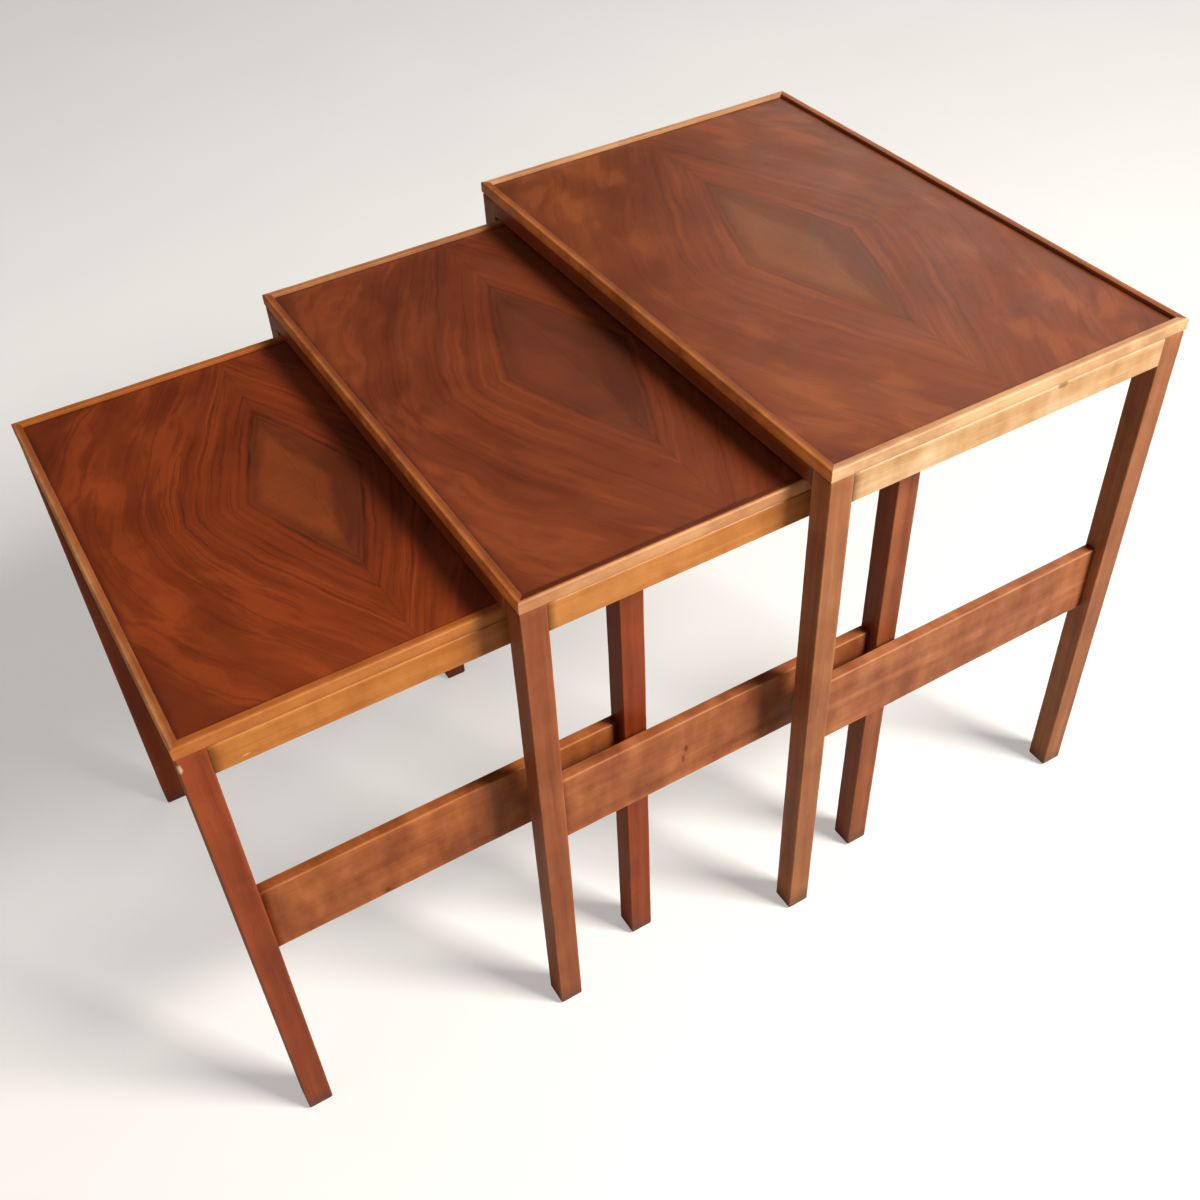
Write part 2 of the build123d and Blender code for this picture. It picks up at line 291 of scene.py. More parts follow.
hand_out(matched, given, {
    "Leaf": leaf,
    "Out": out,
    "Along": calc(matched, "MULTIPLY_ADD", v, -0.37, times(matched, u, 0.93)),
    "Behind": fade(matched, spot["Y"], -9 * MM, 9 * MM),
    "Seam": fade(matched, seam, 0.1 * MM, 0.5 * MM, 1.0, 0.0)})

# How far out each part of the figure begins and is fully there.
HEART_ENDS = (38.0, 46.0)
VEINS_BEGIN = (60.0, 85.0)
FLAMES_BEGIN = (72.0, 118.0)
STRIPES_CALM = (80.0, 125.0)
CORNERS_DARKEN = (168.0, 200.0)
LIGHT_BAND, LIGHT_BAND_WIDTH = 146.0, 20.0
# Thin dark growth lines, closest together round the heart: how far out, half width, depth.
GROWTH_LINES = ((43.0, 2.6, 1.0), (38.5, 1.6, 0.45), (50.0, 1.8, 0.6), (55.5, 1.4, 0.4),
                (64.0, 2.0, 0.45), (79.0, 1.6, 0.35))
# Behind the middle the pale heart is smaller by this much.
HEART_EDGE, HEART_SHIFT = 33.0, -17.0
# How strongly the satin polish reflects, on veneer and solid wood alike.
SATIN = 0.35


def stripe(tree, value, middle, width):
    """One where value is middle, falling to nothing at that width to either side."""
    away = calc(tree, "ABSOLUTE", calc(tree, "SUBTRACT", value, middle))
    return fade(tree, away, 0.0, width, 1.0, 0.0)


def face_veneer(size, half_length, half_depth, shades, sheet, strength, lined):
    """The polished face of one top. sheet moves it to other leaves of the log; strength and
    lined are how strong its stripes and its dark lines are."""
    low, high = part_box(f"{size}_top_veneer")
    middle = (low + high) / 2
    material, tree, shader = new_material(f"veneer_{size}")
    centred = put(tree, "ShaderNodeMapping", {
        "Vector": place_of(tree), "Location": -middle}).outputs[0]
    leaf = use_group(tree, matched, {
        "Place": centred, "Half Length": half_length, "Half Depth": half_depth})
    out, along = leaf["Out"], leaf["Along"]

    def band(along_mm, out_mm, detail=2.0, twist=0.0):
        """Noise that follows the stripes, with features of that length and width."""
        drawn = join(tree, calc(tree, "DIVIDE", along, along_mm), calc(tree, "DIVIDE", out, out_mm), sheet)
        return put(tree, "ShaderNodeTexNoise", {
            "Vector": drawn, "Scale": 1.0, "Detail": detail, "Distortion": twist}).outputs["Fac"]

    broad = band(190.0, 15.0, 1.5)
    narrow = band(130.0, 4.0)
    fine = band(80.0, 1.3)
    sums = calc(tree, "MULTIPLY_ADD", narrow, 0.36, times(tree, broad, 0.34))
    sums = calc(tree, "MULTIPLY_ADD", fine, 0.3, sums)
    calm = fade(tree, out, *STRIPES_CALM, strength, 0.55 * strength)
    figured = colour_ramp(tree, sway(tree, 0.5, sums, calm), [
        (0.3, shades["deep"]), (0.48, shades["base"]), (0.54, shades["base"]), (0.7, shades["bright"])])

    lines = 0.0
    for far_out, width, depth in GROWTH_LINES:
        lines = calc(tree, "MAXIMUM", lines, times(tree, stripe(tree, out, far_out, width), depth))
    broken = fade(tree, band(60.0, 9.0), 0.4, 0.6, 0.12, 1.0)
    lines = times(tree, times(tree, lines, broken), lined)
    veins = stripe(tree, band(260.0, 13.0, 1.0), 0.5, 0.018)
    veins = times(tree, veins, fade(tree, out, *VEINS_BEGIN, 0.0, 0.26))
    veins = times(tree, veins, fade(tree, broad, 0.42, 0.6))
    lines = calc(tree, "MAXIMUM", lines, times(tree, veins, strength))

    # The heart is a paler diamond. Behind it, and round it, lies darker olive wood.
    clouds = put(tree, "ShaderNodeTexNoise", {
        "Vector": leaf["Leaf"], "Scale": 30.0, "Detail": 3.0}).outputs["Fac"]
    cloudy = sway(tree, out, clouds, 22.0)
    edge = calc(tree, "MULTIPLY_ADD", leaf["Behind"], HEART_SHIFT, HEART_EDGE)
    past_edge = calc(tree, "SUBTRACT", cloudy, edge)
    heart = tint(tree, fade(tree, past_edge, -5.0, 7.0), shades["heart"], shades["olive"])
    heart = tint(tree, fade(tree, clouds, 0.35, 0.6, 0.3, 0.0), heart, shades["olive"])
    figured = tint(tree, fade(tree, out, *HEART_ENDS, 0.9, 0.0), figured, heart)

    # Further out the curl breaks the stripes into soft flames, and the corners turn dark.
    flames = band(62.0, 21.0, 3.5, 0.5)
    far = fade(tree, out, *FLAMES_BEGIN, 0.2, 1.0)
    light_band = stripe(tree, cloudy, LIGHT_BAND, LIGHT_BAND_WIDTH)
    flame = calc(tree, "MULTIPLY_ADD", light_band, 0.3, times(tree, fade(tree, flames, 0.5, 0.64), 0.7))
    shade = times(tree, times(tree, fade(tree, flames, 0.49, 0.36), far), 0.3)
    figured = tint(tree, times(tree, flame, far), figured, shades["bright"])
    figured = tint(tree, shade, figured, shades["deep"])
    figured = tint(tree, fade(tree, cloudy, *CORNERS_DARKEN, 0.0, 0.6), figured, shades["deep"])
    figured = tint(tree, lines, figured, shades["line"])

    # What isn't matched: the polish is uneven, and painted shade darkens the veneer against the lipping.
    patchy = grain_noise(tree, centred, (8, 9, 1))
    figured = tint(tree, fade(tree, patchy, 0.4, 0.68, 0.0, 0.3), figured, shades["bright"])
    figured = tint(tree, fade(tree, patchy, 0.5, 0.3, 0.0, 0.3), figured, shades["deep"])
    spot = split(tree, centred)
    room_x = calc(tree, "SUBTRACT", high.x - middle.x, calc(tree, "ABSOLUTE", spot["X"]))
    room_y = calc(tree, "SUBTRACT", high.y - middle.y, calc(tree, "ABSOLUTE", spot["Y"]))
    to_lip = sway(tree, calc(tree, "MINIMUM", room_x, room_y), clouds, 7 * MM)
    # Painted shade along the lipping, darkest right against it.
    lip_shade = fade(tree, to_lip, -1 * MM, 5 * MM, 0.7, 0.0)
    figured = tint(tree, lip_shade, figured, shades["line"])
    figured = tint(tree, times(tree, leaf["Seam"], 0.2), figured, shades["line"])
    pores = fade(tree, band(7.0, 0.5, 1.0), 0.6, 0.72)
    figured = tint(tree, times(tree, pores, 0.22), figured, shades["line"])

    rubbed = grain_noise(tree, centred, (16, 16, 1), 4.0, 0.7)
    gloss = calc(tree, "MULTIPLY_ADD", lip_shade, 0.2, fade(tree, rubbed, 0.3, 0.7, 0.31, 0.43))
    ripples = grain_noise(tree, centred, (45, 45, 1), 2.0)
    waves = calc(tree, "MULTIPLY_ADD", fine, 0.2, times(tree, ripples, 0.8))
    waves = calc(tree, "SUBTRACT", waves, times(tree, pores, 0.2))
    feed(tree, shader, figured, gloss, waves, relief=0.08 * MM)
    shader.inputs["Specular IOR Level"].default_value = SATIN
    dress(f"{size}_top_veneer", material)


face_veneer("large", 142 * MM, 50 * MM, sheet=1.7, strength=1.25, lined=0.5, shades={
    "deep": paint(96, 42, 19), "base": paint(119, 57, 28), "bright": paint(149, 77, 38),
    "heart": paint(132, 77, 44), "olive": paint(104, 56, 32), "line": paint(70, 33, 18)})
face_veneer("medium", 135 * MM, 50 * MM, sheet=6.3, strength=1.15, lined=0.55, shades={
    "deep": paint(86, 34, 16), "base": paint(112, 51, 26), "bright": paint(142, 68, 36),
    "heart": paint(104, 51, 30), "olive": paint(84, 42, 26), "line": paint(58, 23, 12)})
face_veneer("small", 110 * MM, 42 * MM, sheet=11.9, strength=1.55, lined=0.9, shades={
    "deep": paint(88, 33, 12), "base": paint(118, 47, 18), "bright": paint(148, 64, 25),
    "heart": paint(128, 62, 28), "olive": paint(88, 40, 20), "line": paint(56, 22, 9)})


# ---- Lipping ----------------------------------------------------------------------------
# Four lengths of solid wood are moulded to one section, mitred at the corners and glued over
# the tongue of the core. They stand proud of the veneer, and hands have worn their outer
# arris round and pale.

# The smaller tables are painted darker, as painted shade: from none of it to all of it.
TABLE_SHADE = {"large": 0.0, "medium": 0.5, "small": 1.0}
# Dirt in a joint, painted shade on one length, and bare wood at a chip.
DIRT, EXTRA_SHADE, BARE_CHIP = paint(58, 30, 16), paint(118, 84, 66), paint(236, 206, 168)
FLOOR_DIRT_ENDS = (-14 * MM, 10 * MM)


def written(tree, name):
    """A number that was written to the points of the mesh."""
    return put(tree, "ShaderNodeAttribute", attribute_name=name).outputs["Fac"]


def in_metres(millimetres):
    return tuple(number * MM for number in millimetres)


def worn_wood(name, way, dark, middle, light, worn, table_shade, curl=0.15, bare=0.5, soiled=None, marks=()):
    """Polished solid wood with its fibres along one axis, worn paler at its arrises. marks are
    (place, half lengths, colour) of knots and stains, in millimetres. An arris below nothing
    holds dirt. On the lipping's outer face the arris value also carries painted light. A
    per-table value darkens the wood as painted shade, and a value above one adds more."""
    material, tree, shader = new_material(name)
    board, arris, chip, shade_amount = [written(tree, label) for label in ("board", "arris", "chip", "table_shade")]
    place = turned(tree, way)
    grain = use_group(tree, long_grain, {"Place": place, "Board": board})
    patchy = grain_noise(tree, place, (22, 30, 30), 4.0, 0.62)
    # Each board is a little lighter or darker than the next.
    own_tone = calc(tree, "FRACT", times(tree, board, 7.13))
    tone = sway(tree, grain["Streaks"], grain["Curl"], curl)
    tone = sway(tree, tone, own_tone, 0.08)
    tone = sway(tree, tone, patchy, 0.5)
    colour = colour_ramp(tree, tone, [(0.25, dark), (0.5, middle), (0.75, light)])
    colour = tint(tree, times(tree, grain["Lines"], 0.15), colour, dark)
    colour = tint(tree, times(tree, grain["Pores"], 0.3), colour, dark)
    # The arris value is wear, and on the lipping's outer face it is also painted light.
    rubbed = times(tree, calc(tree, "MAXIMUM", arris, 0.0), fade(tree, patchy, 0.34, 0.62, 0.35 * bare, bare))
    colour = tint(tree, rubbed, colour, worn)
    # Painted shade: each table is darkened by its own amount.
    colour = tint(tree, shade_amount, colour, table_shade, "MULTIPLY")
    # Painted shade: a value above one darkens one length further.
    colour = tint(tree, fade(tree, shade_amount, 1.0, 2.0), colour, EXTRA_SHADE, "MULTIPLY")
    colour = tint(tree, fade(tree, arris, -0.1, -1.0, 0.0, 0.85), colour, DIRT)
    if soiled is not None:
        height = split(tree, place_of(tree))["Z"]
        uneven = calc(tree, "MULTIPLY_ADD", patchy, -30 * MM, height)
        colour = tint(tree, fade(tree, uneven, *FLOOR_DIRT_ENDS, 0.6, 0.0), colour, soiled)
    for centre, reach, shade in marks:
        from_centre = vector_calc(tree, "SUBTRACT", place_of(tree), in_metres(centre))
        away = vector_calc(tree, "DIVIDE", from_centre, in_metres(reach))
        length = put(tree, "ShaderNodeVectorMath", {0: away}, operation="LENGTH").outputs["Value"]
        length = sway(tree, length, grain["Relief"], 0.8, middle=0.2)
        colour = tint(tree, fade(tree, length, 0.5, 1.1, 0.85, 0.0), colour, shade)
    colour = tint(tree, chip, colour, BARE_CHIP)
    dull = fade(tree, patchy, 0.3, 0.7, 0.36, 0.5)
    dull = calc(tree, "MULTIPLY_ADD", calc(tree, "MAXIMUM", rubbed, chip), 0.12, dull)
    feed(tree, shader, colour, dull, grain["Relief"], relief=0.06 * MM)
    shader.inputs["Specular IOR Level"].default_value = SATIN
    return material


def geometry_tree(name, sizes):
    """A Geometry Nodes tree that takes a mesh, these sizes and a finish, and gives a mesh."""
    tree = bpy.data.node_groups.new(name, "GeometryNodeTree")
    tree.is_modifier = True
    tree.interface.new_socket("Geometry", in_out="INPUT", socket_type="NodeSocketGeometry")
    for label, value in sizes:
        tree.interface.new_socket(label, in_out="INPUT", socket_type=NUMBER).default_value = value
    tree.interface.new_socket("Finish", in_out="INPUT", socket_type="NodeSocketMaterial")
    tree.interface.new_socket("Geometry", in_out="OUTPUT", socket_type="NodeSocketGeometry")
    return tree, tree.nodes.new("NodeGroupInput").outputs


def end_tree(tree, asked, geometry):
    """Makes what a tree has built real, and gives it its finish."""
    real = put(tree, "GeometryNodeRealizeInstances", {"Geometry": geometry}).outputs[0]
    finished = put(tree, "GeometryNodeSetMaterial", {"Geometry": real, "Material": asked["Finish"]})
    put(tree, "NodeGroupOutput", {"Geometry": finished.outputs[0]})


# The section is drawn once, rounded, and drawn along the length; each end is then cut back
# by as much as a point lies in from the outer face, which makes the mitre.
lipping, asked = geometry_tree("lipping", (
    ("Length", 0.5), ("Width", 6.6 * MM), ("Height", 9.5 * MM),
    ("Round", 1.5 * MM), ("Arris", 0.4 * MM), ("Wear", 0.25 * MM), ("Board", 0.0)))
STEPS_ALONG = 90
ROUND_STEPS = 5
KNOCKS_TO_THE_METRE = 34.0
section = put(lipping, "GeometryNodeCurvePrimitiveQuadrilateral", mode="RECTANGLE",
              wires={"Width": asked["Width"], "Height": asked["Height"]}).outputs["Curve"]
corner = split(lipping, put(lipping, "GeometryNodeInputPosition").outputs[0])
outer_top = times(lipping, calc(lipping, "LESS_THAN", corner["X"], 0.0),
                  calc(lipping, "GREATER_THAN", corner["Y"], 0.0))
extra_round = calc(lipping, "SUBTRACT", asked["Round"], asked["Arris"])
radius = calc(lipping, "MULTIPLY_ADD", outer_top, extra_round, asked["Arris"])
section = put(lipping, "GeometryNodeFilletCurve", {
    "Curve": section, "Count": ROUND_STEPS, "Radius": radius}, mode="POLY").outputs[0]
section = put(lipping, "GeometryNodeSubdivideCurve", {"Curve": section, "Cuts": 2}).outputs[0]
place = put(lipping, "GeometryNodeInputPosition").outputs[0]
section = put(lipping, "GeometryNodeStoreNamedAttribute", {
    "Geometry": section, "Name": "section", "Value": place},
    data_type="FLOAT_VECTOR", domain="POINT").outputs[0]
end = join(lipping, asked["Length"])
path = put(lipping, "GeometryNodeCurvePrimitiveLine", {"Start": (0, 0, 0), "End": end}).outputs[0]
path = put(lipping, "GeometryNodeResampleCurve", {"Curve": path, "Count": STEPS_ALONG}).outputs[0]
share = put(lipping, "GeometryNodeSplineParameter").outputs["Factor"]
path = put(lipping, "GeometryNodeStoreNamedAttribute", {"Geometry": path, "Name": "share", "Value": share},
           data_type="FLOAT", domain="POINT").outputs[0]
drawn = put(lipping, "GeometryNodeCurveToMesh", {
    "Curve": path, "Profile Curve": section, "Fill Caps": True}).outputs[0]
spot = split(lipping, put(lipping, "GeometryNodeInputNamedAttribute", {"Name": "section"},
                          data_type="FLOAT_VECTOR").outputs[0])
share = put(lipping, "GeometryNodeInputNamedAttribute", {"Name": "share"}, data_type="FLOAT").outputs[0]
inward = calc(lipping, "MULTIPLY_ADD", asked["Width"], 0.5, spot["X"])
upward = calc(lipping, "MULTIPLY_ADD", asked["Height"], 0.5, spot["Y"])
clear = calc(lipping, "MULTIPLY_ADD", inward, -2.0, asked["Length"])
run = calc(lipping, "MULTIPLY_ADD", share, clear, inward)
# Wear only ever takes wood away, most at the outer top arris.
to_outer = calc(lipping, "ADD", inward, calc(lipping, "SUBTRACT", asked["Height"], upward))
near_arris = put(lipping, "ShaderNodeMapRange", {
    "Value": to_outer, "From Min": 0.6 * MM, "From Max": 3.2 * MM,
    "To Min": 1.0, "To Max": 0.0}).outputs["Result"]
knocks = put(lipping, "ShaderNodeTexNoise", {
    "Vector": join(lipping, times(lipping, run, KNOCKS_TO_THE_METRE), asked["Board"]),
    "Scale": 1.0, "Detail": 3.0}).outputs["Fac"]
knocks = put(lipping, "ShaderNodeMapRange", {
    "Value": knocks, "From Min": 0.45, "From Max": 0.8}).outputs["Result"]
taken_off = times(lipping, times(lipping, near_arris, knocks), asked["Wear"])
moulded_place = join(lipping, run, calc(lipping, "ADD", inward, taken_off),
                     calc(lipping, "SUBTRACT", upward, taken_off))
moulded = put(lipping, "GeometryNodeSetPosition", {
    "Geometry": drawn, "Position": moulded_place}).outputs[0]
moulded = put(lipping, "GeometryNodeSetShadeSmooth", {
    "Geometry": moulded, "Shade Smooth": True}).outputs[0]
end_tree(lipping, asked, moulded)


def grow(name, tree, inputs, mesh=None):
    """Runs a Geometry Nodes tree on a new object and keeps its result as a plain mesh."""
    maker = bpy.data.objects.new(name + "_maker", mesh or bpy.data.meshes.new(name + "_maker"))
    bpy.context.scene.collection.objects.link(maker)
    modifier = maker.modifiers.new("tree", "NODES")
    modifier.node_group = tree
    sockets = {item.name: item.identifier for item in tree.interface.items_tree if item.in_out == "INPUT"}
    for label, value in inputs.items():
        modifier[sockets[label]] = value
    bpy.context.view_layer.update()
    made = bpy.data.meshes.new_from_object(maker.evaluated_get(bpy.context.evaluated_depsgraph_get()))
    bpy.data.objects.remove(maker)
    piece = bpy.data.objects.new(name, made)
    bpy.context.scene.collection.objects.link(piece)
    return piece


def mark(mesh, name, values):
    """Writes one number to each point of a mesh, or the same one to them all."""
    filled = np.zeros(len(mesh.vertices), np.float32)
    filled[:] = values
    mesh.attributes.new(name, "FLOAT", "POINT").data.foreach_set("value", filled)


def points_of(mesh):
    places = np.zeros(len(mesh.vertices) * 3, np.float32)
    mesh.vertices.foreach_get("co", places)
    return places.reshape(-1, 3)


def hand_over(piece, node):
    """Lets a finished piece ride with its table and stand for its CAD node."""
    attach(piece, node.split("_")[0])
    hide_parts(node)


# On the lipping the worn colour serves both for the pale worn arris and for the painted light on the outer
# face.
lip_across = worn_wood(
    "lip_across", "X", dark=paint(108, 53, 24), middle=paint(140, 74, 35), light=paint(168, 99, 53),
    worn=paint(255, 160, 80), table_shade=paint(250, 240, 234), curl=0.1, bare=1.0)
lip_across_pale = worn_wood(
    "lip_across_pale", "X", dark=paint(122, 62, 30), middle=paint(158, 88, 46), light=paint(186, 116, 68),
    worn=paint(255, 206, 140), table_shade=paint(250, 240, 234), curl=0.2, bare=1.0)
lip_along = worn_wood(
    "lip_along", "Y", dark=paint(162, 104, 64), middle=paint(198, 142, 96), light=paint(224, 176, 128),
    worn=paint(232, 192, 146), table_shade=paint(218, 167, 108), curl=0.25, bare=0.9)
# How much painted light the outer face gets, from its lower edge to its upper one.
FACE_HEIGHTS, FACE_PAINTED_LIGHT = [0, 0.5, 0.8, 1], [0.6, 1.0, 0.9, 0.4]
FACE_SKIN, UNDERSIDE_SKIN, INNER_FROM, WORN_REACH = 0.7 * MM, 0.3 * MM, 1.2 * MM, 2.6 * MM
# One length's upper face is painted darker than the rest, as painted shade from the large table over it.
SHADED_LENGTH, SHADED_LEVEL = "medium_lip_right", 1.8
lip_number = 0
for size in TABLES:
    for quarter_turns, where in enumerate(("front", "right", "back", "left")):
        node = f"{size}_lip_{where}"
        low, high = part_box(node)
        span = high - low
        across_table = where in ("front", "back")
        length, width = (span.x, span.y) if across_table else (span.y, span.x)
        wood = lip_along
        if across_table:
            wood = lip_across_pale if size == "small" else lip_across
        lip_number += 1
        piece = grow(f"{size}_{where}_lipping", lipping, {
            "Length": length, "Width": width, "Height": span.z, "Board": lip_number * 3.7, "Finish": wood})
        # The length still lies along X from the origin, with its outer face towards -Y.
        places = points_of(piece.data)
        inward, upward = places[:, 1], places[:, 2]
        from_arris = inward + (span.z - upward)
        # Painted light on the outer face.
        face_light = np.interp(upward / span.z, FACE_HEIGHTS, FACE_PAINTED_LIGHT)
        face_light[inward > FACE_SKIN] = 0.0
        most_worn = 0.35 if across_table else 1
        # Wear at the outer arris, together with the painted light on the outer face.
        wear_and_face_light = np.maximum(np.clip(1.3 - from_arris / WORN_REACH, 0, most_worn), face_light)
        wear_and_face_light[upward < UNDERSIDE_SKIN] = -1.0
        # Painted shade: each table's own darkening, and more on one length's upper face.
        shade_level = np.full(len(places), TABLE_SHADE[size])
        if node == SHADED_LENGTH:
            shade_level[(from_arris > WORN_REACH) & (inward > INNER_FROM)] = SHADED_LEVEL
        mark(piece.data, "arris", wear_and_face_light)
        mark(piece.data, "table_shade", shade_level)
        mark(piece.data, "board", lip_number * 0.37)
        mark(piece.data, "chip", 0.0)
        turn = Euler((0, 0, quarter_turns * math.pi / 2)).to_matrix().to_4x4()
        corners = ((low.x, low.y), (high.x, low.y), (high.x, high.y), (low.x, high.y))
        turn.translation = Vector((*corners[quarter_turns], low.z))
        piece.data.transform(turn)
        hand_over(piece, node)


# ---- Legs -------------------------------------------------------------------------------
# Square legs in redder wood, planed, with their arrises eased by hand and their feet worn
# round. Their tops are chamfered outside, which leaves the pale line under the lipping.

RUN_AXES = {"X": (1, 2, 0), "Y": (2, 0, 1), "Z": (0, 1, 2)}
ARC_STEPS = 4
ARRIS_MARGIN = 1.3 * MM
STATION_SPACING = 7 * MM
CHIP_STATIONS = 13
# For each corner of a section, anticlockwise: is it right, is it at the top, first angle.
CORNER_TURNS = ((0, 0, 180), (1, 0, 270), (1, 1, 0), (0, 1, 90))


def section_ring(low, high, radii, flat):
    """Points round a board's section, anticlockwise, and how near each is to an arris."""
    ring, nearness = [], []
    for (right, top, first_angle), radius, cut in zip(CORNER_TURNS, radii, flat):
        centre = np.array([high[0] - radius if right else low[0] + radius,
                           high[1] - radius if top else low[1] + radius])
        arc = [math.radians(first_angle + 90 * step / ARC_STEPS) for step in range(ARC_STEPS + 1)]
        ends = [centre + radius * np.array([math.cos(angle), math.sin(angle)]) for angle in arc]
        if cut:
            ends = [ends[0] + (ends[-1] - ends[0]) * step / ARC_STEPS for step in range(ARC_STEPS + 1)]
        before = np.array([math.sin(arc[0]), -math.cos(arc[0])]) * ARRIS_MARGIN
        after = np.array([-math.sin(arc[-1]), math.cos(arc[-1])]) * ARRIS_MARGIN
        on_arris = [0.7 + 0.3 * math.sin(math.pi * step / ARC_STEPS) for step in range(ARC_STEPS + 1)]
        ring += [ends[0] + before, *ends, ends[-1] + after]
        nearness += [0.0, *on_arris, 0.0]
    return ring, nearness


def stations_along(start, end, draws, chips):
    """Where a board's section is set out: evenly, where it draws in, and closely at a chip."""
    stations = set(np.linspace(start, end, int((end - start) / STATION_SPACING)))
    stations |= {place for place, _ in draws}
    for _, place, length, _ in chips:
        stations |= set(np.linspace(place - length, place + length, CHIP_STATIONS))
    stations = np.unique(np.round([min(max(place, start), end) for place in stations], 6))
    stations[0], stations[-1] = start, end
    return stations


def planed_board(name, low, high, way, arris, chamfers=None, ends=None, wear=0.35 * MM, chips=(),
                 table_shade=0, seed=0):
    """A board along one axis. chamfers gives a corner's flat cut; ends lists (place along,
    inset of each side) where the section draws in; chips are (corner, place, length, depth)."""
    a, b, run = RUN_AXES[way]
    chamfers = chamfers or {}
    uncut = (0, 0, 0, 0)
    draws = sorted(ends or [(low[run], uncut), (high[run], uncut)], key=lambda row: row[0])
    stations = stations_along(low[run], high[run], draws, chips)
    # The plane and years of use have taken more off an arris in some places than in others.
    random = np.random.RandomState(seed)
    worn = random.rand(4, len(stations) + 6)
    worn = np.array([np.convolve(row, np.ones(5) / 5, "same")[3:-3] for row in worn])
    worn = np.clip((worn - 0.42) * 4, 0, 1) * wear
    rows, nearness_rows, chip_rows = [], [], []
    for index, place in enumerate(stations):
        insets = [np.interp(place, [at for at, _ in draws], [inset[side] for _, inset in draws])
                  for side in range(4)]
        radii, damage = [], []
        for corner in range(4):
            radius = chamfers.get(corner, arris + worn[corner][index])
            hurt = 0.0
            for which, middle, length, depth in chips:
                if which == corner:
                    bite = max(0.0, 1 - ((place - middle) / length) ** 2)
                    radius += depth * bite
                    hurt = max(hurt, bite)
            radii.append(radius)
            damage.append(hurt)
        ring, nearness = section_ring(
            (low[a] + insets[0], low[b] + insets[2]), (high[a] - insets[1], high[b] - insets[3]),
            radii, [corner in chamfers for corner in range(4)])
        rows.append([[*point, place] for point in ring])
        nearness_rows.append(nearness)
        chip_rows.append([value for hurt in damage for value in (0.0, *[hurt] * (ARC_STEPS + 1), 0.0)])
    count = len(rows[0])
    section = np.array(rows).reshape(-1, 3)
    places = np.zeros_like(section)
    places[:, a], places[:, b], places[:, run] = section[:, 0], section[:, 1], section[:, 2]
    faces = [(row * count + i, row * count + (i + 1) % count,
              (row + 1) * count + (i + 1) % count, (row + 1) * count + i)
             for row in range(len(rows) - 1) for i in range(count)]
    faces.append(tuple(range(count - 1, -1, -1)))
    faces.append(tuple((len(rows) - 1) * count + i for i in range(count)))
    mesh = bpy.data.meshes.new(name)
    mesh.from_pydata(places.tolist(), [], faces)
    mesh.polygons.foreach_set("use_smooth", [True] * (len(faces) - 2) + [False, False])
    mark(mesh, "arris", np.concatenate(nearness_rows))
    mark(mesh, "chip", np.concatenate(chip_rows))
    mark(mesh, "board", (seed * 0.618) % 9)
    mark(mesh, "table_shade", table_shade)
    piece = bpy.data.objects.new(name, mesh)
    bpy.context.scene.collection.objects.link(piece)
    return piece


leg_wood = worn_wood(
    "leg", "Z", dark=paint(120, 64, 36), middle=paint(158, 96, 58), light=paint(184, 123, 79),
    worn=paint(200, 138, 92), table_shade=paint(228, 166, 128), bare=0.35, soiled=paint(84, 62, 50))
FOOT_ROUND, TOP_CHAMFER, LEG_ARRIS = 3.6 * MM, 1.8 * MM, 0.8 * MM
CHIPPED_LEG = "small_leg_front_right"
CHIP_BELOW_TOP, CHIP_LENGTH, CHIP_DEPTH = 9 * MM, 4.5 * MM, 0.8 * MM
LEG_PLACES = [(end_name, side_name) for end_name in ("front", "back") for side_name in ("left", "right")]
for table, size in enumerate(TABLES):
    for number, (end_name, side_name) in enumerate(LEG_PLACES):
        node = f"{size}_leg_{end_name}_{side_name}"
        low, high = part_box(node)
        left, front = side_name == "left", end_name == "front"
        drawn_in = [(low.z, (FOOT_ROUND,) * 4)]
        for step in (0.25, 0.6, 1.0):
            inset = FOOT_ROUND * (1 - math.sqrt(1 - (1 - step) ** 2)) * 0.9
            drawn_in.append((low.z + FOOT_ROUND * step, (inset,) * 4))
        drawn_in.append((high.z - TOP_CHAMFER, (0, 0, 0, 0)))
        drawn_in.append((high.z, (TOP_CHAMFER * left, TOP_CHAMFER * (not left),
                                  TOP_CHAMFER * front, TOP_CHAMFER * (not front))))
        chips = [(1, high.z - CHIP_BELOW_TOP, CHIP_LENGTH, CHIP_DEPTH)] if node == CHIPPED_LEG else []
        leg = planed_board(f"{size}_{end_name}_{side_name}_leg", low, high, "Z", LEG_ARRIS,
                           ends=drawn_in, chips=chips, table_shade=TABLE_SHADE[size], seed=11 + 4 * table + number)
        leg.data.materials.append(leg_wood)
        hand_over(leg, node)


# ---- Rails ------------------------------------------------------------------------------
# Boards under the top, tenoned into the legs: paler ones along both sides and across the back,
# with screws up through them, and a lower, darker one in front that just clears the next
# table. The side rails' outer top arris is chamfered in line with the legs.

